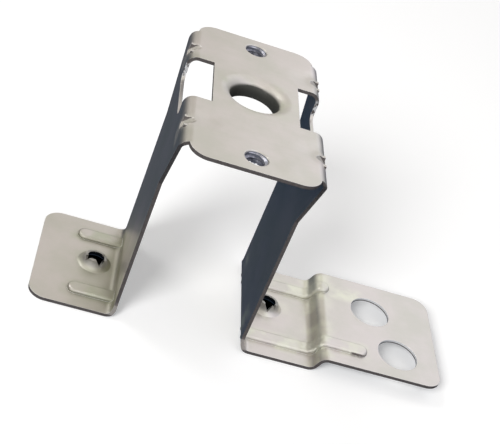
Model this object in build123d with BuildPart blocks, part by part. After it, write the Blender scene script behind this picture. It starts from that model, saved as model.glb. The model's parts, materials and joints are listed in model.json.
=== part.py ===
from build123d import *

from math import atan2, sqrt, tan
import os

# Stamped sheet-steel mounting bracket: one folded and pierced piece.
# A raised plate stands on two legs. The left leg ends in a short foot, the right leg in a longer
# foot that steps up to an outer pad. +Z is up, Z = 0 is the underside of the feet and X runs along
# the bracket from the short foot to the pad. The pressing is drawn about the middle of its legs,
# then set with the middle of its whole outline at the origin.

os.makedirs("parts", exist_ok=True)

# ---- sheet and folds ----
sheet = 1.0                 # thickness of the steel
bend_inner = 2.0            # inside radius of every fold

# ---- hat: the raised plate and its two legs ----
height = 68.0               # underside of the feet to the top of the plate
hat_length = 38.4           # over the outer faces of the legs
leg_width = 36.0
fold_width = 59.0           # width of the legs where they fold into the plate
flare_drop = 1.5            # from the top of the plate to where the legs have widened fully
flare_rise = 20.0           # over this height below it
flare_radius = 18.0
plate_width = 68.5          # the plate reaches past both ends of its folds
reach_length = 34.0         # length of those two overhanging ends
plate_corner = 5.2

# ---- windows across the upper folds, and the drawn centre hole between them ----
core_shift = 3.1            # windows and drawn hole sit off the middle of the plate
window_width = 21.0
window_reach = 7.2          # from the outer face of the leg into the plate
window_drop = 7.5           # from the top of the plate down the leg
window_corner = 2.2
drawn_bore_r = 6.5
drawn_wall = 0.9
drawn_lip = 3.4             # radius of the soft lip round the drawn hole
drawn_depth = 5.0

# ---- two drawn holes tapped M6 ----
tapped_spacing = 56.4
tapped_bore_r = 3.0
tapped_wall = 0.9
tapped_lip = 0.3
tapped_depth = 2.3

# ---- darts pressed into the upper folds ----
dart_spacing = 39.0
dart_groove_r = 1.6
dart_wall = 0.9
dart_set = 0.8              # groove axis inside the sharp corner of the fold
dart_length = 16.0          # long enough to run out of the sheet both ways

# ---- feet ----
foot_overhang = 2.0         # how far a foot stands out past each side of its leg
foot_corner = 5.0
foot_neck = 4.0             # height by which the foot has narrowed to the leg
foot_blend = 2.4
short_foot = 24.0           # leg face to the end of the short foot
step_start = 21.5           # leg face to the bottom of the step
step_run = 2.0
step_rise = 4.5
pad_length = 36.7           # top of the step to the outer edge of the pad

# ---- stiffening beads ----
bead_spacing = 25.2
bead_width = 4.6
bead_height = 1.1
bead_round = 0.9
bead_flat = 0.1             # half the flat left at the middle of a bead's round end
bead_hollow = 2.6           # width of the hollow under a bead
bead_joggle_r = 2.5
short_bead = 13.6           # leg face to the bead's end on the short foot
long_bead_far = 26.5        # the same for the two beads that climb the step
long_bead_near = 37.0

# ---- burst holes: punched from below, the metal torn into standing petals ----
burst_reach = 7.3           # leg face to the centre of the hole
burst_mouth_r = 2.3
burst_base_r = 4.4
burst_wall = 0.8
burst_height = 2.9
burst_skirt_r = 3.5         # curve of the metal up into the petals
burst_waist = 1.6           # the throat bends here, at this height and this far in
burst_lean = 11             # the torn rim falls away to one side by this angle
petal_tears = [(215, 1.7, 2.4), (300, 2.1, 2.8), (342, 1.5, 2.0), (38, 1.4, 2.2), (97, 1.3, 1.9),
               (158, 1.6, 2.5)]  # direction, depth and width of each tear
burst_places = [(-1, 1.0, 0), (1, 2.2, -29)]  # side, shift across the foot and turn of each

# ---- plain holes in the pad: from the leg face, and across the pad ----
pad_hole_r = 6.25
pad_hole_far = (39.7, 7.0)
pad_hole_near = (47.2, -9.7)

# ---- how far pieces that are joined overlap, how far cutters run past the sheet ----
lap = 0.3
clear = 1.0
tolerance = 0.01

# ---- places that follow from the sizes ----
bend_mid = bend_inner + sheet / 2
brim = 2 * lap              # flat rim of a ring that sinks into the sheet round it
leg_face = hat_length / 2
leg_mid = leg_face - sheet / 2
under_plate = height - sheet
flare_end = height - flare_drop
flare_start = flare_end - flare_rise
foot_width = leg_width + 2 * foot_overhang
left_end = -leg_face - short_foot
step_low = leg_face + step_start
step_high = step_low + step_run
right_end = step_high + pad_length
pad_top = sheet + step_rise
punch = 3 * sheet           # height of the round cutters that pierce the sheet


def bead_bar(across, reach, climbs=False, hollow=False):
    """One bead on the +X side: its body above the sheet, or the hollow pressed up under it."""
    crest = bead_height if hollow else sheet + bead_height
    width = bead_hollow if hollow else bead_width
    start = leg_face - sheet if hollow else leg_mid
    end = leg_face + reach - (bead_width - width) / 2
    root = crest - bead_height - sheet / 2
    shift = (crest - sheet / 2) * tan(atan2(step_rise, step_run) / 2)
    with BuildPart() as bar:
        with BuildSketch(Plane.XZ.offset(-across - width / 2)):
            with BuildLine():
                if climbs:
                    FilletPolyline(
                        (start, crest), (step_low - shift, crest),
                        (step_high - shift, crest + step_rise), (end, crest + step_rise),
                        radius=bead_joggle_r)
                    Polyline((end, crest + step_rise), (end, root + step_rise),
                             (step_high, root + step_rise), (step_low, root), (start, root),
                             (start, crest))
                else:
                    Polyline((start, root), (end, root), (end, crest), (start, crest), close=True)
            make_face()
        extrude(amount=width)
        fillet(edges().filter_by(Axis.Z).group_by(Axis.X)[-1], radius=width / 2 - bead_flat)
        if not hollow:
            crown_faces = faces().filter_by(lambda f: f.normal_at().Z > tolerance)
            fillet(crown_faces.edges().filter_by(Axis.Y, reverse=True), radius=bead_round)
    return bar.part


bead_bodies, bead_hollows = [], []
for across, climb in ((-bead_spacing / 2, long_bead_near), (bead_spacing / 2, long_bead_far)):
    for bars, hollow in ((bead_bodies, False), (bead_hollows, True)):
        bars.append(bead_bar(across, short_bead, hollow=hollow).mirror(Plane.YZ))
        bars.append(bead_bar(across, climb, climbs=True, hollow=hollow))

# ---- rings drawn out of the sheet, each turned about its own axis ----
with BuildPart() as drawn_ring:
    lip_r = drawn_bore_r + drawn_lip
    drawn_outer_r = drawn_bore_r + drawn_wall
    with BuildSketch(Plane.XZ):
        with BuildLine():
            rim = Polyline((lip_r + brim, under_plate), (lip_r + brim, height), (lip_r, height))
            roll = TangentArc(rim @ 1, (drawn_bore_r, height - drawn_lip), tangent=(-1, 0))
            under = (lip_r - (drawn_lip - drawn_wall) / sqrt(2),
                     height - drawn_lip + (drawn_lip - sheet) / sqrt(2))
            Polyline(roll @ 1, (drawn_bore_r, height - drawn_depth),
                     (drawn_outer_r, height - drawn_depth), (drawn_outer_r, height - drawn_lip),
                     under, (lip_r, under_plate), rim @ 0)
        make_face()
    revolve(axis=Axis.Z)

with BuildPart() as tapped_ring:
    tapped_outer_r = tapped_bore_r + tapped_wall
    with BuildSketch(Plane.XZ):
        with BuildLine():
            Polyline((tapped_outer_r + brim, height), (tapped_bore_r + tapped_lip, height),
                     (tapped_bore_r, height - tapped_lip), (tapped_bore_r, height - tapped_depth),
                     (tapped_outer_r, height - tapped_depth), (tapped_outer_r, under_plate),
                     (tapped_outer_r + brim, under_plate), close=True)
        make_face()
    revolve(axis=Axis.Z)

with BuildPart() as burst_ring:
    brim_r = burst_base_r + brim
    crown = sheet + burst_height
    with BuildSketch(Plane.XZ):
        with BuildLine():
            throat = Polyline((brim_r, sheet), (brim_r, 0), (burst_base_r, 0),
                              (burst_base_r - burst_waist, burst_waist), (burst_mouth_r, crown),
                              (burst_mouth_r + burst_wall, crown))
            RadiusArc(throat @ 1, throat @ 0, -burst_skirt_r)
        make_face()
    revolve(axis=Axis.Z)
    for turn, depth, width in petal_tears:
        with BuildSketch(Plane.XZ.rotated((0, 0, turn + 90))):
            with BuildLine():
                Polyline((0, crown - depth), (width / 2, crown + lap), (-width / 2, crown + lap),
                         close=True)
            make_face()
        extrude(amount=brim_r, mode=Mode.SUBTRACT)
    with Locations(Location((0, -burst_mouth_r, crown), (-burst_lean, 0, 0))):
        Box(4 * brim_r, 4 * brim_r, crown, align=(Align.CENTER, Align.CENTER, Align.MIN),
            mode=Mode.SUBTRACT)

# ---- one dart: a groove across the fold, and the web it raises inside ----
corner_set = dart_set / sqrt(2)
dart_line = Plane(origin=(leg_face - corner_set, 0, height - corner_set), z_dir=(1, 0, -1))

with BuildPart() as dart_web:
    with Locations(dart_line):
        Cylinder(dart_groove_r + dart_wall, dart_length)
    with Locations((leg_mid, 0, height - sheet / 2)):
        Box(dart_length, dart_length, dart_length, align=(Align.MAX, Align.CENTER, Align.MAX),
            mode=Mode.INTERSECT)

with BuildPart() as dart_groove:
    with Locations(dart_line):
        Cylinder(dart_groove_r, dart_length)

# ---- the outline that the folded strip is trimmed to ----
with BuildPart() as outline:
    with BuildSketch(Plane.YZ.offset(left_end - clear)):
        with BuildLine():
            side = Polyline((foot_width / 2, -clear), (foot_width / 2, sheet),
                            (leg_width / 2, foot_neck), (leg_width / 2, flare_start),
                            (fold_width / 2, flare_end), (fold_width / 2, height + clear))
            Line(side @ 1, (0, height + clear))
            Line(side @ 0, (0, -clear))
            mirror(about=Plane.YZ)
        make_face()
        knees = vertices().filter_by(lambda v: abs(abs(v.X) - leg_width / 2) < tolerance)
        fillet(knees.group_by(Axis.Y)[0], radius=foot_blend)
        fillet(knees.group_by(Axis.Y)[-1], radius=flare_radius)
    extrude(amount=right_end - left_end + 2 * clear)
    with Locations((step_low - bend_mid, 0, -clear)):
        Box(right_end - step_low + bend_mid + clear, foot_width, pad_top + 2 * clear,
            align=(Align.MIN, Align.CENTER, Align.MIN))

# ---- the folded strip, its plate and everything pressed or punched in it ----
with BuildPart() as pressing:
    with BuildSketch(Plane.XZ):
        with BuildLine():
            FilletPolyline(
                (left_end, sheet / 2), (-leg_mid, sheet / 2), (-leg_mid, height - sheet / 2),
                (leg_mid, height - sheet / 2), (leg_mid, sheet / 2), (step_low, sheet / 2),
                (step_high, sheet / 2 + step_rise), (right_end, sheet / 2 + step_rise),
                radius=bend_mid)
        trace(line_width=sheet)
    extrude(amount=fold_width / 2, both=True)
    add(outline.part, mode=Mode.INTERSECT)
    outer_edges = edges().filter_by(Axis.Z)
    fillet(outer_edges.group_by(Axis.X)[0] + outer_edges.group_by(Axis.X)[-1], radius=foot_corner)

    # overhanging ends of the plate
    with BuildSketch(Plane.XY.offset(under_plate)):
        RectangleRounded(reach_length, plate_width, plate_corner)
        Rectangle(reach_length, fold_width, mode=Mode.SUBTRACT)
    extrude(amount=sheet)

    # windows across the upper folds
    with BuildSketch(Plane.YZ.offset(leg_face - window_reach)):
        with Locations((core_shift, height - window_drop)):
            Rectangle(window_width, window_drop + clear, align=(Align.CENTER, Align.MIN))
        fillet(vertices().group_by(Axis.Y)[0], radius=window_corner)
    window = extrude(amount=window_reach + clear, mode=Mode.PRIVATE)
    add(window, mode=Mode.SUBTRACT)
    add(window.mirror(Plane.YZ), mode=Mode.SUBTRACT)

    # drawn rings
    with Locations((0, core_shift, height)):
        Cylinder(lip_r + lap, punch, mode=Mode.SUBTRACT)
    with Locations((0, core_shift)):
        add(drawn_ring.part)
    for across in (-tapped_spacing / 2, tapped_spacing / 2):
        with Locations((0, across, height)):
            Cylinder(tapped_outer_r + lap, punch, mode=Mode.SUBTRACT)
        with Locations((0, across)):
            add(tapped_ring.part)

    # burst holes
    for side, across, turn in burst_places:
        with Locations(Location((side * (leg_face + burst_reach), across, 0), (0, 0, turn))):
            Cylinder(burst_base_r + lap, punch, mode=Mode.SUBTRACT)
            add(burst_ring.part)

    # darts in the folds
    with Locations((0, -dart_spacing / 2), (0, dart_spacing / 2)):
        add([dart_web.part, dart_web.part.mirror(Plane.YZ)])
        add([dart_groove.part, dart_groove.part.mirror(Plane.YZ)], mode=Mode.SUBTRACT)

    # stiffening beads: their bodies first, then the hollows under them
    add(bead_bodies)
    add(bead_hollows, mode=Mode.SUBTRACT)

    # plain holes in the pad
    with Locations([(leg_face + x, y, pad_top) for x, y in (pad_hole_far, pad_hole_near)]):
        Cylinder(pad_hole_r, punch, mode=Mode.SUBTRACT)

# ---- the origin: the middle of the whole outline, on the plane the feet stand on ----
with BuildPart() as bracket:
    with Locations((-(left_end + right_end) / 2, 0)):
        add(pressing.part)

bracket.part.label = "bracket"
export_step(bracket.part, "parts/bracket.step")
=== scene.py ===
import json
import math

import bmesh
import bpy
from bpy.props import FloatProperty, FloatVectorProperty, PointerProperty
from bpy.types import Operator, Panel, PropertyGroup
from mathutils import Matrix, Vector


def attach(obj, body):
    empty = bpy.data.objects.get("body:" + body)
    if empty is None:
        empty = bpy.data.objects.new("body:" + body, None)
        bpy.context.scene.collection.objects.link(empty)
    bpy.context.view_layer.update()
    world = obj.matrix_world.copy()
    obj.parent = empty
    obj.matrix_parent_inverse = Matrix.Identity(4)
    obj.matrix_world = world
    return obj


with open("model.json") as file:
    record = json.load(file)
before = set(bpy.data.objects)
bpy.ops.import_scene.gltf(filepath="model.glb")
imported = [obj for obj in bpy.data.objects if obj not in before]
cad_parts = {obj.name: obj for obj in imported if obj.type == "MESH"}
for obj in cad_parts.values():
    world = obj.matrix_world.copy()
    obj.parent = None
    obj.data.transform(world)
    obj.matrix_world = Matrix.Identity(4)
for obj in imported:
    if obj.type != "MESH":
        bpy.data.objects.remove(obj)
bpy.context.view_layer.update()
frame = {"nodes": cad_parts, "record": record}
MOUNTS = {mount["name"]: mount for mount in frame["record"]["mounts"]}

bl_info = {
    "name": "Stamped Bracket",
    "version": (1, 0, 0),
    "blender": (4, 5, 0),
    "location": "3D View > Sidebar > Bracket",
    "description": "Galvanised steel finish, screw threads and studio for a stamped bracket",
    "category": "Object",
}

# ---------------------------------------------------------------- places on the bracket
# Masks work in millimetres: along the bracket from the middle of its legs, across it, and up.

SHEET = 1.0
LEGS_MIDDLE = -MOUNTS["plate_drawn_hole"]["pos_m"][0]   # metres, to the -X side of the origin
PLATE_TOP = MOUNTS["plate_top"]["pos_m"][2] * 1000
PAD_UNDERSIDE = MOUNTS["pad_underside"]["pos_m"][2] * 1000
PAD_TOP = PAD_UNDERSIDE + SHEET
LEG_BAND = (18.45, 0.9)         # middle of a leg's thickness, and how far its mask reaches
BEAD_LINE = 12.6                # middle of each bead, across
BEADS_MIDDLE = 11.0             # middle of the beads' whole reach, along
STEP_BAND = (41.7, 3.0)         # middle of the step's slope, along, and how far its mask reaches
STEP_WORKED = 42.0              # middle of the metal worked by forming the step, along
STEP_CRUMPLE = (41.0, -12.6, 3.5)   # where the near bead climbs the step
BURST_HOLES = ((-26.5, 1.0, 0.0), (26.5, 2.2, 0.0))
DARTS = ((-17.6, -19.5, 0.0), (-17.6, 19.5, 0.0), (17.6, -19.5, 0.0), (17.6, 19.5, 0.0))

# Each mask changes between the two values of its span
PETALS_OUT = (3.4, 4.6)         # from the middle of a burst hole
THROAT_SHADE_OUT = (4.2, 4.6)
SHADE_OUT = (5.0, 6.0)          # shade on the table under a burst hole
PETALS_FROM = (1.2, 2.4)        # up
PETALS_TO = (8.0, 9.0)
TAPPED_OUT = (0.02, 0.12)       # outside the wall of a hole
DRAWN_OUT = (0.3, 1.1)
LIP_OUT = (2.0, 4.5)
PAD_HOLE_OUT = (0.15, 0.35)
DRAWN_BELOW = (PLATE_TOP - 1.8, PLATE_TOP - 0.8)
LIP_ABOVE = (PLATE_TOP - 1.4, PLATE_TOP - 0.6)
DART_OUT = (2.5, 4.0)
DART_ABOVE = (PLATE_TOP - 8.0, PLATE_TOP - 7.0)
BURNISH_ABOVE = (PAD_UNDERSIDE + 0.25, PAD_UNDERSIDE + 0.45)
WINDOW_FROM_LEGS = (17.6, 18.1)
WINDOW_BELOW = (PLATE_TOP - 3.0, PLATE_TOP - 1.5)
WINDOW_ABOVE = (PLATE_TOP - 11.0, PLATE_TOP - 9.0)
WINDOW_ACROSS = (14.0, 15.0)
FLANKS_BELOW = (7.6, 8.0)       # flanks of the beads, which aren't sheared edges
FLANKS_ACROSS = (BEAD_LINE + 3.0, BEAD_LINE + 3.8)
FLANKS_END = (50.5, 51.5)
# At the windows, burnish and a painted highlight on the cut faces.
WINDOW_BURNISH_AND_HIGHLIGHT = 0.9            # share of the sheared edge that the punch left bright
OTHER_BURNISH = 0.03
FORMED_BELOW = (8.0, 12.0)      # metal worked by forming the beads, the step and the holes
BEAD_SIDE = (1.5, 5.0)
BEAD_END = (44.0, 47.0)
STEP_SIDE = (1.0, 6.0)
BURST_SIDE = (3.0, 10.0)
DRAWN_SIDE = (0.5, 7.5)
BURST_MIDDLE_UP = 2.0
HOLE_SOILING = 0.8              # strength of that mask round the holes
# Span along where the short foot's darker pressed tint and strong corner shade give way to the
# long foot's painted light.
SHORT_TO_LONG_FOOT = (-5.0, 20.0)

# Shallow dents: middle, radius, and height (below zero: pressed in)
DENTS = (
    ((15.0, -17.5, PLATE_TOP), 6.0, -0.30),
    ((14.5, 20.5, PLATE_TOP), 6.0, -0.30),
    ((9.0, -29.0, PLATE_TOP), 5.0, 0.16),
    ((-13.0, -17.0, PLATE_TOP), 5.0, -0.16),
    ((0.0, 3.1, PLATE_TOP), 13.0, 0.15),
    ((47.0, 6.0, PAD_TOP), 9.0, -0.10),
    ((17.5, -14.0, PLATE_TOP - 1.5), 4.0, -0.35),
    ((17.5, 23.5, PLATE_TOP - 1.5), 4.0, -0.35),
)

# ---------------------------------------------------------------- threads, table, light, camera

THREAD_PROFILE = ((-0.04, -0.44), (1.0, -0.07), (1.0, 0.07), (-0.04, 0.44))  # in, and along
THREAD_FACETS = 48              # in one turn
THREAD_FADE = 14                # facets over which each end fades out
LIP_FACETS = 60
LIP_TEAR = 0.00012              # how far the torn edge of the lip wanders
LIP_PROFILE = (                 # in from the wall, up from the collar's end, share of the tear
    (0.00002, 0.0003, 0), (0.00045, -0.00062, 1), (0.00072, -0.00062, 1), (0.00045, 0.0003, 0))

TABLE_HALF = 3.0
TABLE_DROP = 0.00002            # keeps the table clear of the undersides of the feet

# Brightness of the light tent: direction's axis, from, to, share up to there, share beyond
TENT_SHARES = (
    ("X", -0.70, 0.02, 0.75, 1.00),
    ("X", 0.08, 0.21, 0.80, 1.50),
    ("X", 0.155, 0.20, 1.00, 1.10),
    ("X", 0.24, 0.33, 1.00, 0.86),
    ("X", 0.42, 0.80, 1.00, 0.60),
    ("Y", -0.50, 0.45, 1.12, 1.00),
)
TENT_ON_FLOOR = 0.45            # share of the tent's light that matt surfaces get
WARM_TO_COOL = (0.06, 0.32)     # change of colour, by the X of the direction
FLOOR_TO_TENT = (-0.05, 0.42)   # where the tent begins above the floor, by its Z

KEY_PLACE = (-0.90, -1.24, 1.00)
KEY_SIZE = 0.76
MIRRORED_KEY = 0.4              # share of the key lamp that the metal mirrors
SIDE_PLACE = (-1.04, 0.68, 1.40)
SIDE_SIZE = 0.72

CAMERA_PLACE = (-0.06842, -0.26293, 0.20846)
CAMERA_TURN = (54.287, -19.255, 0.1345)
CAMERA_LENS = 82.428
CAMERA_SENSOR = 36.0
CAMERA_NEAREST = 0.01


# ---------------------------------------------------------------- sizes and colours

class SteelFinish(PropertyGroup):
    """Colours and texture of the galvanised sheet"""
    sheet_colour: FloatVectorProperty(
        name="Sheet", description="Rolled galvanised surface", subtype="COLOR", size=3,
        min=0, max=1, default=(0.575, 0.56, 0.51))
    patch_colour: FloatVectorProperty(
        name="Patches", description="Slow cloudy change across the sheet", subtype="COLOR",
        size=3, min=0, max=1, default=(0.64, 0.60, 0.575))
    pressed_colour: FloatVectorProperty(
        name="Pressed areas", description="Drawing oil left where the metal was formed",
        subtype="COLOR", size=3, min=0, max=1, default=(0.54, 0.55, 0.46))
    # Painted light: the pressed areas on the long foot are painted this lighter colour.
    lit_pressed_colour: FloatVectorProperty(
        name="Rubbed metal", description="Pressed metal the tool has left clean",
        subtype="COLOR", size=3, min=0, max=1, default=(0.80, 0.80, 0.70))
    # Painted shade in the inside corners, in a dull olive.
    corner_shade_colour: FloatVectorProperty(
        name="Oil", description="Pressing oil caught in inside corners", subtype="COLOR", size=3,
        min=0, max=1, default=(0.30, 0.30, 0.23))
    torn_colour: FloatVectorProperty(
        name="Cut and torn steel", description="Bare steel of sheared edges", subtype="COLOR",
        size=3, min=0, max=1, default=(0.115, 0.10, 0.095))
    # Also used for the painted highlight on rolled edges and on the windows' cut faces.
    burnish_and_highlight_colour: FloatVectorProperty(
        name="Burnished steel", description="Bright band where the punch slid past",
        subtype="COLOR", size=3, min=0, max=1, default=(0.80, 0.80, 0.80))
    # Painted shade on the drawn hole's wall under its lip.
    drawn_wall_shade_colour: FloatVectorProperty(
        name="Drawn wall", description="Wall of the drawn hole under its rolled lip",
        subtype="COLOR", size=3, min=0, max=1, default=(0.045, 0.045, 0.040))
    petal_colour: FloatVectorProperty(
        name="Petals", description="Torn metal round the burst holes", subtype="COLOR", size=3,
        min=0, max=1, default=(0.42, 0.41, 0.39))
    # Painted shade inside the burst holes.
    throat_shade_colour: FloatVectorProperty(
        name="Throats", description="Inside of the burst holes", subtype="COLOR", size=3,
        min=0, max=1, default=(0.03, 0.03, 0.03))
    # Painted shade on the walls of the tapped bores.
    bore_shade_colour: FloatVectorProperty(
        name="Tapped bores", description="Steel blackened by cutting oil", subtype="COLOR",
        size=3, min=0, max=1, default=(0.17, 0.18, 0.22))
    sheet_roughness: FloatProperty(
        name="Sheet roughness", description="Roughness of the rolled surface", min=0, max=1,
        default=0.42)
    relief: FloatProperty(
        name="Relief", description="Strength of the dents and rolling lines", min=0, max=1,
        default=0.6)
    edge_roll: FloatProperty(
        name="Edge roll", description="Radius rolled onto the sheared edges", unit="LENGTH",
        min=0, max=0.001, default=0.00018, precision=5)


class ScrewThread(PropertyGroup):
    """Thread cut in the two drawn holes of the plate"""
    pitch: FloatProperty(
        name="Pitch", description="Distance from crest to crest", unit="LENGTH", min=0.0003,
        max=0.002, default=0.001, precision=5)
    depth: FloatProperty(
        name="Depth", description="How far the crests stand in from the wall", unit="LENGTH",
        min=0.0001, max=0.001, default=0.00062, precision=5)
    bright_colour: FloatVectorProperty(
        name="Cut steel", description="Thread where the oil is thin", subtype="COLOR", size=3,
        min=0, max=1, default=(0.52, 0.52, 0.58))
    oiled_colour: FloatVectorProperty(
        name="Oiled steel", description="Thread under a film of oil", subtype="COLOR", size=3,
        min=0, max=1, default=(0.26, 0.265, 0.31))


class StudioStage(PropertyGroup):
    """Floor, light and camera"""
    floor_colour: FloatVectorProperty(
        name="Floor", description="Floor seen by the camera", subtype="COLOR", size=3, min=0,
        max=1, default=(0.83, 0.83, 0.83))
    floor_glow: FloatProperty(
        name="Floor glow", description="Part of the floor's white that shadows leave", min=0,
        max=1, default=0.24)
    mirrored_floor: FloatVectorProperty(
        name="Mirrored floor", description="Dim table that upright metal mirrors",
        subtype="COLOR", size=3, min=0, max=1, default=(0.030, 0.050, 0.085))
    warm_sky: FloatVectorProperty(
        name="Warm side", description="Light tent over the short foot", subtype="COLOR", size=3,
        min=0, max=1, default=(0.88, 0.845, 0.765))
    cool_sky: FloatVectorProperty(
        name="Cool side", description="Light tent over the pad", subtype="COLOR", size=3,
        min=0, max=1, default=(0.91, 0.915, 0.965))
    key_power: FloatProperty(
        name="Key lamp", description="Power of the soft lamp", unit="POWER", min=0, max=200,
        default=30.0)
    side_power: FloatProperty(
        name="Side lamp", description="Power of the soft lamp behind the short foot",
        unit="POWER", min=0, max=200, default=6.0)


# ---------------------------------------------------------------- node helpers

def put(tree, kind, inputs=None, **settings):
    """Adds a node, applies its settings, and sets or links its inputs."""
    node = tree.nodes.new(kind)
    for name, value in settings.items():
        setattr(node, name, value)
    for key, value in (inputs or {}).items():
        socket = node.inputs[key]
        if isinstance(value, bpy.types.NodeSocket):
            tree.links.new(value, socket)
        elif socket.type == "RGBA" and len(value) == 3:
            socket.default_value = (*value, 1.0)
        else:
            socket.default_value = value
    return node


def maths(tree, operation, a, b=0.0, c=0.0, clamp=False):
    return put(tree, "ShaderNodeMath", {0: a, 1: b, 2: c}, operation=operation,
               use_clamp=clamp).outputs[0]


def product(tree, first, *others):
    """Multiplies values together."""
    for other in others:
        first = maths(tree, "MULTIPLY", first, other)
    return first


def total(tree, first, *others):
    """Adds values together."""
    for other in others:
        first = maths(tree, "ADD", first, other)
    return first


def highest(tree, first, *others):
    """The strongest of several masks."""
    for other in others:
        first = maths(tree, "MAXIMUM", first, other)
    return first


def without(tree, mask, other):
    """A mask where another one is absent."""
    return maths(tree, "MULTIPLY", mask, maths(tree, "SUBTRACT", 1.0, other), clamp=True)


def ramp(tree, value, low, high, to_low=0.0, to_high=1.0):
    """Smooth change of a value from to_low at low to to_high at high."""
    return put(tree, "ShaderNodeMapRange",
               {"Value": value, "From Min": low, "From Max": high, "To Min": to_low,
                "To Max": to_high}, interpolation_type="SMOOTHSTEP").outputs["Result"]


def rise(tree, value, span):
    """Mask, 0 up to the first end of a span and 1 beyond the second."""
    return ramp(tree, value, *span)


def fade(tree, value, span):
    """Mask, 1 up to the first end of a span and 0 beyond the second."""
    return ramp(tree, value, *span, 1.0, 0.0)


def within(tree, value, middle, reach):
    """Mask, 1 where a value is within reach of the middle."""
    return maths(tree, "COMPARE", value, middle, reach)


def away_from(tree, value, middle):
    return maths(tree, "ABSOLUTE", maths(tree, "SUBTRACT", value, middle))


def vectors(tree, operation, a, b, output=0):
    return put(tree, "ShaderNodeVectorMath", {0: a, 1: b}, operation=operation).outputs[output]


def near(tree, point, centre, span, most=1.0, radius=0.0):
    """Mask round a centre, full up to the first end of a span outside the radius."""
    distance = vectors(tree, "DISTANCE", point, centre, "Value")
    return ramp(tree, distance, radius + span[0], radius + span[1], most, 0.0)


def noise(tree, point, scale, detail, roughness=0.5):
    return put(tree, "ShaderNodeTexNoise", {"Vector": point, "Scale": scale, "Detail": detail,
                                            "Roughness": roughness}).outputs["Fac"]


def mix_colour(tree, factor, a, b):
    node = tree.nodes.new("ShaderNodeMix")
    node.data_type = "RGBA"
    for index, value in ((0, factor), (6, a), (7, b)):
        if isinstance(value, bpy.types.NodeSocket):
            tree.links.new(value, node.inputs[index])
        else:
            node.inputs[index].default_value = (*value, 1.0) if index else value
    return node.outputs[2]


def new_group(name, masks, vector_outputs=()):
    """An empty shader node group that puts out the named masks and vectors."""
    tree = bpy.data.node_groups.new(name, "ShaderNodeTree")
    for kind, labels in (("NodeSocketFloat", masks), ("NodeSocketVector", vector_outputs)):
        for label in labels:
            tree.interface.new_socket(label, in_out="OUTPUT", socket_type=kind)
    return tree, tree.nodes.new("NodeGroupOutput")


def put_out(tree, out, **sockets):
    """Links values to a group's outputs; an underscore stands for a space in a label."""
    for label, socket in sockets.items():
        tree.links.new(socket, out.inputs[label.replace("_", " ")])
    return tree


def outputs_of(tree, group):
    return put(tree, "ShaderNodeGroup", node_tree=group).outputs


def new_material(name):
    material = bpy.data.materials.new(name)
    material.use_nodes = True
    return material, material.node_tree


# ---------------------------------------------------------------- node groups

def mount_circle(name):
    """A round mount's centre in millimetres on the bracket, flat, and its radius."""
    x, y, _ = MOUNTS[name]["pos_m"]
    return ((x + LEGS_MIDDLE) * 1000, y * 1000, 0.0), MOUNTS[name]["dims"]["r_mm"]


def bracket_place_group():
    """Where a point lies on the bracket, in millimetres from the middle of its legs."""
    tree, out = new_group("Place on bracket", ("Along", "Across", "Up"),
                          ("Millimetres", "On the flat"))
    position = put(tree, "ShaderNodeNewGeometry").outputs["Position"]
    moved = vectors(tree, "ADD", position, (LEGS_MIDDLE, 0, 0))
    scaled = put(tree, "ShaderNodeVectorMath", {0: moved, "Scale": 1000.0},
                 operation="SCALE").outputs[0]
    along, across, up = put(tree, "ShaderNodeSeparateXYZ", {0: scaled}).outputs
    return put_out(tree, out, Along=along, Across=across, Up=up, Millimetres=scaled,
                   On_the_flat=vectors(tree, "MULTIPLY", scaled, (1, 1, 0)))


def pierced_metal_group(place):
    """Masks of the torn petals and throats of the burst holes, and of the drawn holes, with
    painted shade in the throats, on the bores and on the drawn hole's wall.
    """
    tree, out = new_group("Pierced metal", ("Petals", "Throats", "Bores", "Drawn wall", "Lip"))
    where = outputs_of(tree, place)
    flat = where["On the flat"]
    up = where["Up"]
    facing = put(tree, "ShaderNodeNewGeometry").outputs["True Normal"]

    petals = throat_shade = 0.0
    for centre in BURST_HOLES:
        petals = highest(tree, petals, near(tree, flat, centre, PETALS_OUT))
        # Painted shade in the throats: faces turned in towards a burst hole.
        inward = vectors(tree, "SUBTRACT", centre, flat)
        inside = rise(tree, vectors(tree, "DOT_PRODUCT", inward, facing, "Value"), (0.3, 0.9))
        throat_shade = highest(tree, throat_shade, product(
            tree, inside, near(tree, flat, centre, THROAT_SHADE_OUT)))
    petals = product(tree, petals, rise(tree, up, PETALS_FROM), fade(tree, up, PETALS_TO))

    # Painted shade on the walls of the tapped bores.
    bores = 0.0
    for name in ("plate_tapped_near", "plate_tapped_far"):
        centre, radius = mount_circle(name)
        bores = highest(tree, bores, near(tree, flat, centre, TAPPED_OUT, radius=radius))

    # Painted shade on the drawn hole's wall below its lip.
    centre, radius = mount_circle("plate_drawn_hole")
    drawn = product(tree, near(tree, flat, centre, DRAWN_OUT, radius=radius),
                    fade(tree, up, DRAWN_BELOW))
    lip = product(tree, near(tree, flat, centre, LIP_OUT, radius=radius),
                  rise(tree, up, LIP_ABOVE))
    for centre in DARTS:
        lip = highest(tree, lip, product(
            tree, near(tree, flat, centre, DART_OUT), rise(tree, up, DART_ABOVE)))
    return put_out(tree, out, Petals=petals, Throats=throat_shade, Bores=bores, Drawn_wall=drawn,
                   Lip=lip)


def corner_shade_group():
    """Mask of inside corners, for painted shade."""
    tree, out = new_group("Oily corners", ("Mask",))
    shelter = put(tree, "ShaderNodeAmbientOcclusion", {"Distance": 0.006}, samples=8,
                  only_local=True).outputs["AO"]
    return put_out(tree, out, Mask=fade(tree, shelter, (0.55, 0.98)))


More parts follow.
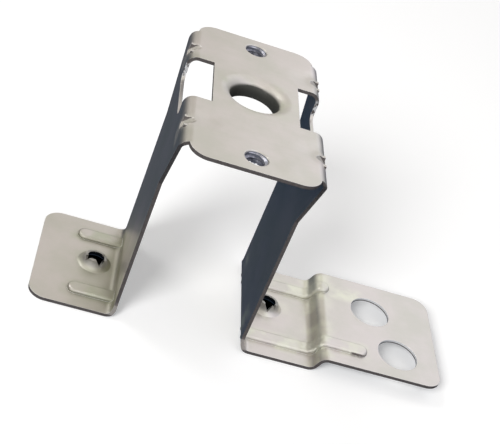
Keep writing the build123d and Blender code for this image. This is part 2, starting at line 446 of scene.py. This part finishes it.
def cut_edge_group(place):
    """Masks of the sheared edges of the sheet, and of the bright burnish on them, which at the
    windows is also a painted highlight.
    """
    tree, out = new_group("Sheared edges", ("Mask", "Burnish"))
    where = outputs_of(tree, place)
    up = where["Up"]
    normal = put(tree, "ShaderNodeNewGeometry").outputs["True Normal"]
    facing_x, facing_y, facing_z = (
        maths(tree, "ABSOLUTE", part)
        for part in put(tree, "ShaderNodeSeparateXYZ", {0: normal}).outputs)
    from_legs = maths(tree, "ABSOLUTE", where["Along"])
    from_middle = maths(tree, "ABSOLUTE", where["Across"])

    # upright faces, less the broad faces of the legs, the step and the flanks of the beads
    edge = highest(tree, fade(tree, facing_z, (0.20, 0.35)), rise(tree, facing_y, (0.78, 0.86)))
    leg = product(tree, rise(tree, facing_x, (0.85, 0.93)), within(tree, from_legs, *LEG_BAND))
    step = product(tree, rise(tree, facing_x, (0.6, 0.8)),
                   within(tree, where["Along"], *STEP_BAND))
    flank = product(tree, fade(tree, up, FLANKS_BELOW), fade(tree, from_middle, FLANKS_ACROSS),
                    fade(tree, where["Along"], FLANKS_END))
    for face in (leg, step, flank):
        edge = without(tree, edge, face)

    grain = rise(tree, noise(tree, where["Millimetres"], 1.1, 3.0), (0.42, 0.52))
    # At the windows the burnish also stands for a painted highlight on the cut faces.
    window = product(tree, rise(tree, from_legs, WINDOW_FROM_LEGS),
                     fade(tree, up, WINDOW_BELOW), rise(tree, up, WINDOW_ABOVE),
                     fade(tree, from_middle, WINDOW_ACROSS))
    burnish = product(tree, grain, total(tree, product(tree, window, WINDOW_BURNISH_AND_HIGHLIGHT),
                                         OTHER_BURNISH))
    for name in ("pad_hole_far", "pad_hole_near"):
        centre, radius = mount_circle(name)
        burnish = highest(tree, burnish, product(
            tree, near(tree, where["On the flat"], centre, PAD_HOLE_OUT, radius=radius),
            rise(tree, up, BURNISH_ABOVE)))
    return put_out(tree, out, Mask=edge, Burnish=burnish)


def pressed_area_group(place):
    """Mask of the metal round the beads, the step, the drawn hole and the burst holes."""
    tree, out = new_group("Pressed areas", ("Mask",))
    where = outputs_of(tree, place)
    point = where["Millimetres"]
    from_middle = maths(tree, "ABSOLUTE", where["Across"])
    low = fade(tree, where["Up"], FORMED_BELOW)
    beads = product(tree, fade(tree, away_from(tree, from_middle, BEAD_LINE), BEAD_SIDE),
                    fade(tree, away_from(tree, where["Along"], BEADS_MIDDLE), BEAD_END), low)
    step = product(tree, fade(tree, away_from(tree, where["Along"], STEP_WORKED), STEP_SIDE),
                   low)
    pressed = highest(tree, beads, step)
    for along, across, _ in BURST_HOLES:
        pressed = highest(tree, pressed, near(
            tree, point, (along, across, BURST_MIDDLE_UP), BURST_SIDE, HOLE_SOILING))
    (along, across, _), radius = mount_circle("plate_drawn_hole")
    pressed = highest(tree, pressed, near(
        tree, point, (along, across, PLATE_TOP + 0.5), DRAWN_SIDE, HOLE_SOILING, radius))
    cloud = rise(tree, noise(tree, point, 0.16, 3.0), (0.35, 0.65))
    return put_out(tree, out, Mask=product(tree, pressed, cloud))


def handling_group(place):
    """Clouds, rolling lines and shallow dents of a sheet that has been handled."""
    tree, out = new_group("Handled sheet", ("Cloud", "Line", "Height"))
    point = outputs_of(tree, place)["Millimetres"]
    cloud = rise(tree, noise(tree, point, 0.055, 5.0, 0.62), (0.35, 0.65))
    rolled = put(tree, "ShaderNodeMapping", {"Vector": point, "Scale": (0.05, 2.2, 2.2)})
    line = noise(tree, rolled.outputs[0], 1.0, 3.0)
    height = product(tree, noise(tree, point, 0.045, 1.0), 0.35)
    for centre, radius, depth in DENTS:
        height = total(tree, height, near(tree, point, centre, (0.0, radius), depth))
    crumple = product(tree, noise(tree, point, 0.55, 3.0),
                      near(tree, point, STEP_CRUMPLE, (2.0, 6.0), 0.9))
    grain = product(tree, noise(tree, point, 3.0, 4.0), 0.006)
    height = total(tree, height, crumple, grain, product(tree, line, 0.004))
    return put_out(tree, out, Cloud=cloud, Line=line, Height=height)


# ---------------------------------------------------------------- materials

def sheet_material(finish, place):
    """Galvanised sheet: clouds, oily pressed areas and bare steel on the sheared edges, with
    painted shade in corners and holes, painted highlights on rolled edges, and painted light on
    the long foot's pressed areas.
    """
    material, tree = new_material("Galvanised sheet")
    shader = tree.nodes["Principled BSDF"]
    handled = outputs_of(tree, handling_group(place))
    pressed = outputs_of(tree, pressed_area_group(place))["Mask"]
    sheared = outputs_of(tree, cut_edge_group(place))
    pierced = outputs_of(tree, pierced_metal_group(place))
    # Painted shade in inside corners, from ambient occlusion.
    corner_shade = outputs_of(tree, corner_shade_group())["Mask"]
    edge = sheared["Mask"]

    # the short foot keeps the darker pressed tint and the strongest painted corner shade; the
    # long foot's pressed areas are painted lighter, as painted light
    short_foot_shade = ramp(tree, outputs_of(tree, place)["Along"], *SHORT_TO_LONG_FOOT, 1.0, 0.12)
    formed = mix_colour(tree, short_foot_shade, finish.lit_pressed_colour, finish.pressed_colour)
    bare = mix_colour(tree, sheared["Burnish"], finish.torn_colour, finish.burnish_and_highlight_colour)
    colour = mix_colour(tree, handled["Cloud"], finish.sheet_colour, finish.patch_colour)
    # Painted shade: corners, bore walls, the drawn hole's wall and the throats; painted
    # highlight: rolled edges and window cut faces.
    for mask, covering in (
            (pressed, formed),
            (product(tree, corner_shade, product(tree, short_foot_shade, 0.8)), finish.corner_shade_colour),
            (edge, bare), (pierced["Petals"], finish.petal_colour),
            (pierced["Bores"], finish.bore_shade_colour), (pierced["Drawn wall"], finish.drawn_wall_shade_colour),
            (pierced["Throats"], finish.throat_shade_colour),
            (rolled_edge_highlight(tree, finish, edge, pierced["Petals"]), finish.burnish_and_highlight_colour)):
        colour = mix_colour(tree, mask, colour, covering)
    tree.links.new(colour, shader.inputs["Base Color"])

    rough = total(tree, product(tree, handled["Line"], 0.10), finish.sheet_roughness - 0.05)
    for mask, added in ((edge, 0.12), (pressed, 0.12), (pierced["Petals"], 0.12),
                        (pierced["Lip"], 0.14)):
        rough = total(tree, rough, product(tree, mask, added))
    tree.links.new(rough, shader.inputs["Roughness"])

    dull = highest(tree, edge, pierced["Drawn wall"])
    tree.links.new(maths(tree, "MULTIPLY_ADD", dull, -0.7, 1.0), shader.inputs["Metallic"])

    rolled = put(tree, "ShaderNodeBevel", {"Radius": finish.edge_roll}, samples=6)
    bump = put(tree, "ShaderNodeBump", {"Height": handled["Height"], "Distance": 0.001,
                                        "Strength": finish.relief,
                                        "Normal": rolled.outputs[0]})
    tree.links.new(bump.outputs[0], shader.inputs["Normal"])
    return material


def rolled_edge_highlight(tree, finish, edge, petals):
    """Mask of painted highlight on the broad faces where they roll over into a sheared edge."""
    corner = put(tree, "ShaderNodeBevel", {"Radius": finish.edge_roll * 1.5}, samples=6)
    facing = put(tree, "ShaderNodeNewGeometry").outputs["True Normal"]
    turned = vectors(tree, "DOT_PRODUCT", corner.outputs[0], facing, "Value")
    edge_highlight = fade(tree, turned, (0.90, 0.985))
    return without(tree, without(tree, edge_highlight, edge), petals)


def thread_material(thread, place):
    """Bright tapped steel with a film of dark cutting oil."""
    material, tree = new_material("Tapped steel")
    shader = tree.nodes["Principled BSDF"]
    stain = noise(tree, outputs_of(tree, place)["Millimetres"], 0.9, 3.0)
    colour = mix_colour(tree, rise(tree, stain, (0.4, 0.6)), thread.bright_colour,
                        thread.oiled_colour)
    tree.links.new(colour, shader.inputs["Base Color"])
    tree.links.new(maths(tree, "MULTIPLY_ADD", stain, 0.3, 0.25), shader.inputs["Roughness"])
    shader.inputs["Metallic"].default_value = 1.0
    return material


def floor_material(stage, place):
    """White table to the camera; upright metal mirrors it as the dim table it is."""
    material, tree = new_material("Table")
    tree.nodes.remove(tree.nodes["Principled BSDF"])
    point = outputs_of(tree, place)["Millimetres"]
    clear = 1.0
    for hole in BURST_HOLES:
        clear = without(tree, clear, near(tree, point, hole, SHADE_OUT))
    colour = mix_colour(tree, clear, (0.0, 0.0, 0.0), stage.floor_colour)
    seen = put(tree, "ShaderNodeBsdfDiffuse", {"Color": colour})
    glow = put(tree, "ShaderNodeEmission", {
        "Color": (1.0, 1.0, 1.0), "Strength": product(tree, clear, stage.floor_glow)})
    both = put(tree, "ShaderNodeAddShader", {0: seen.outputs[0], 1: glow.outputs[0]})
    dim = put(tree, "ShaderNodeEmission", {"Color": tuple(stage.mirrored_floor),
                                           "Strength": 1.0})
    show_to_camera(tree, both, dim)
    return material


def show_to_camera(tree, seen, lighting):
    """One shader for what the camera sees itself, and another for every other ray."""
    ray = put(tree, "ShaderNodeLightPath")
    mixed = put(tree, "ShaderNodeMixShader", {0: ray.outputs["Is Camera Ray"],
                                              1: lighting.outputs[0], 2: seen.outputs[0]})
    output = next(node for node in tree.nodes if "Output" in node.name)
    tree.links.new(mixed.outputs[0], output.inputs["Surface"])


# ---------------------------------------------------------------- meshes

def mesh_object(name, bm):
    """Turns a bmesh into an object in the scene."""
    bmesh.ops.recalc_face_normals(bm, faces=bm.faces)
    mesh = bpy.data.meshes.new(name)
    bm.to_mesh(mesh)
    bm.free()
    piece = bpy.data.objects.new(name, mesh)
    bpy.context.scene.collection.objects.link(piece)
    return piece


def bridge(bm, rows, closed=False):
    """Faces between rows of vertices, each row a closed outline."""
    following = rows[1:] + rows[:1] if closed else rows[1:]
    for low, high in zip(rows, following):
        for i in range(len(low)):
            following_i = (i + 1) % len(low)
            bm.faces.new((low[i], low[following_i], high[following_i], high[i]))


def add_thread(bm, x, y, foot, length, wall, thread):
    """One helical ridge standing in from the wall of a drawn hole, fading out at its ends."""
    turns = length / thread.pitch - 0.6
    steps = int(turns * THREAD_FACETS)
    rows = []
    for step in range(steps + 1):
        angle = 2 * math.pi * step / THREAD_FACETS
        lift = foot + thread.pitch * (0.3 + step / THREAD_FACETS)
        share = min(1.0, step / THREAD_FADE, (steps - step) / THREAD_FADE)
        row = []
        for inward, offset in THREAD_PROFILE:
            r = wall - thread.depth * (inward if inward < 0 else inward * max(share, 0.05))
            z = lift + offset * thread.pitch * (0.3 + 0.7 * share)
            row.append(bm.verts.new((x + r * math.cos(angle), y + r * math.sin(angle), z)))
        rows.append(row)
    bridge(bm, rows)
    bm.faces.new(rows[0])
    bm.faces.new(rows[-1])


def add_ragged_lip(bm, x, y, foot, wall):
    """The thin torn lip at the bottom of a drawn hole, tapering in below the collar."""
    rows = []
    for side in range(LIP_FACETS):
        angle = 2 * math.pi * side / LIP_FACETS
        tear = LIP_TEAR * (math.sin(3 * angle + 1.0) + math.sin(7 * angle) + math.sin(17 * angle))
        row = []
        for inward, lift, share in LIP_PROFILE:
            r = wall - inward
            row.append(bm.verts.new((x + r * math.cos(angle), y + r * math.sin(angle),
                                     foot + lift + share * tear)))
        rows.append(row)
    bridge(bm, rows, closed=True)


# ---------------------------------------------------------------- operators

def place_group():
    return bpy.data.node_groups.get("Place on bracket") or bracket_place_group()


class BRACKET_OT_finish_sheet(Operator):
    """Give the folded sheet its galvanised finish"""
    bl_idname = "bracket.finish_sheet"
    bl_label = "Finish the Sheet"

    def execute(self, context):
        sheet = frame["nodes"]["bracket"]
        material = sheet_material(context.scene.steel_finish, place_group())
        for slot in sheet.material_slots:
            slot.material = material
        return {"FINISHED"}


class BRACKET_OT_cut_threads(Operator):
    """Cut a screw thread in both drawn holes of the plate"""
    bl_idname = "bracket.cut_threads"
    bl_label = "Cut the Threads"

    def execute(self, context):
        thread = context.scene.screw_thread
        material = thread_material(thread, place_group())
        for side in ("near", "far"):
            mount = MOUNTS[f"plate_tapped_{side}"]
            x, y, middle = mount["pos_m"]
            wall = mount["dims"]["r_mm"] / 1000
            length = mount["dims"]["length_mm"] / 1000
            foot = middle - length / 2
            bm = bmesh.new()
            add_thread(bm, x, y, foot, length, wall, thread)
            add_ragged_lip(bm, x, y, foot, wall)
            piece = mesh_object(f"thread_{side}", bm)
            piece.data.materials.append(material)
            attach(piece, "root")
        return {"FINISHED"}


class BRACKET_OT_set_stage(Operator):
    """Lay the table, light it and set the camera"""
    bl_idname = "bracket.set_stage"
    bl_label = "Set the Stage"

    def execute(self, context):
        stage = context.scene.studio_stage
        self.lay_table(stage)
        self.hang_tent(context, stage)
        self.place_lamps(context, stage)
        self.aim_camera(context)
        context.scene.view_settings.view_transform = "Standard"
        return {"FINISHED"}

    def lay_table(self, stage):
        bm = bmesh.new()
        bmesh.ops.create_grid(bm, x_segments=8, y_segments=8, size=TABLE_HALF)
        bmesh.ops.translate(bm, verts=bm.verts, vec=(0, 0, -TABLE_DROP))
        floor = mesh_object("table", bm)
        floor.data.materials.append(floor_material(stage, place_group()))

    def hang_tent(self, context, stage):
        """Light from all round, warm over the short foot and cool over the pad."""
        world = bpy.data.worlds.new("Light tent")
        context.scene.world = world
        world.use_nodes = True
        tree = world.node_tree
        direction = put(tree, "ShaderNodeTexCoord").outputs["Generated"]
        parts = put(tree, "ShaderNodeSeparateXYZ", {0: direction}).outputs
        matt = put(tree, "ShaderNodeLightPath").outputs["Is Diffuse Ray"]
        strength = ramp(tree, matt, 0.0, 1.0, 1.0, TENT_ON_FLOOR)
        for axis, *span in TENT_SHARES:
            strength = product(tree, strength, ramp(tree, parts[axis], *span))
        colour = mix_colour(tree, rise(tree, parts["X"], WARM_TO_COOL), stage.warm_sky,
                            stage.cool_sky)
        colour = mix_colour(tree, rise(tree, parts["Z"], FLOOR_TO_TENT), stage.mirrored_floor,
                            colour)
        tent = tree.nodes["Background"]
        tree.links.new(colour, tent.inputs["Color"])
        tree.links.new(strength, tent.inputs["Strength"])
        white = put(tree, "ShaderNodeBackground", {"Color": (1.0, 1.0, 1.0), "Strength": 1.0})
        show_to_camera(tree, white, tent)

    def place_lamps(self, context, stage):
        """Soft lamps aimed at the origin. The metal mirrors only part of the key lamp."""
        for name, power, size, place in (
                ("key", stage.key_power * (1 - MIRRORED_KEY), KEY_SIZE, KEY_PLACE),
                ("glint", stage.key_power * MIRRORED_KEY, KEY_SIZE, KEY_PLACE),
                ("side", stage.side_power, SIDE_SIZE, SIDE_PLACE)):
            lamp = bpy.data.lights.new(name, "AREA")
            lamp.shape = "DISK"
            lamp.size = size
            lamp.energy = power
            bulb = bpy.data.objects.new(name, lamp)
            bulb.location = place
            bulb.rotation_euler = Vector(place).to_track_quat("Z", "Y").to_euler()
            bulb.visible_glossy = name != "key"
            context.scene.collection.objects.link(bulb)

    def aim_camera(self, context):
        camera = bpy.data.objects.new("camera", bpy.data.cameras.new("camera"))
        camera.location = CAMERA_PLACE
        camera.rotation_euler = tuple(math.radians(angle) for angle in CAMERA_TURN)
        camera.data.sensor_fit = "HORIZONTAL"
        camera.data.sensor_width = CAMERA_SENSOR
        camera.data.lens = CAMERA_LENS
        camera.data.clip_start = CAMERA_NEAREST
        context.scene.collection.objects.link(camera)
        context.scene.camera = camera


class BRACKET_PT_panel(Panel):
    """Steps that dress the bracket, with the values they use"""
    bl_idname = "BRACKET_PT_panel"
    bl_label = "Stamped Bracket"
    bl_space_type = "VIEW_3D"
    bl_region_type = "UI"
    bl_category = "Bracket"

    def draw(self, context):
        for group, operators in SECTIONS:
            box = self.layout.box()
            values = getattr(context.scene, group)
            for name in values.bl_rna.properties.keys():
                if name not in {"rna_type", "name"}:
                    box.prop(values, name)
            for operator in operators:
                box.operator(operator.bl_idname)


SECTIONS = (
    ("steel_finish", (BRACKET_OT_finish_sheet,)),
    ("screw_thread", (BRACKET_OT_cut_threads,)),
    ("studio_stage", (BRACKET_OT_set_stage,)),
)
SETTINGS = {"steel_finish": SteelFinish, "screw_thread": ScrewThread,
            "studio_stage": StudioStage}
CLASSES = (*SETTINGS.values(), *(op for _, ops in SECTIONS for op in ops), BRACKET_PT_panel)


def register():
    for cls in CLASSES:
        bpy.utils.register_class(cls)
    for name, settings in SETTINGS.items():
        setattr(bpy.types.Scene, name, PointerProperty(type=settings))


def unregister():
    for name in SETTINGS:
        delattr(bpy.types.Scene, name)
    for cls in reversed(CLASSES):
        bpy.utils.unregister_class(cls)


def main():
    register()
    bpy.ops.bracket.finish_sheet()
    bpy.ops.bracket.cut_threads()
    bpy.ops.bracket.set_stage()


if __name__ == "__main__":
    main()
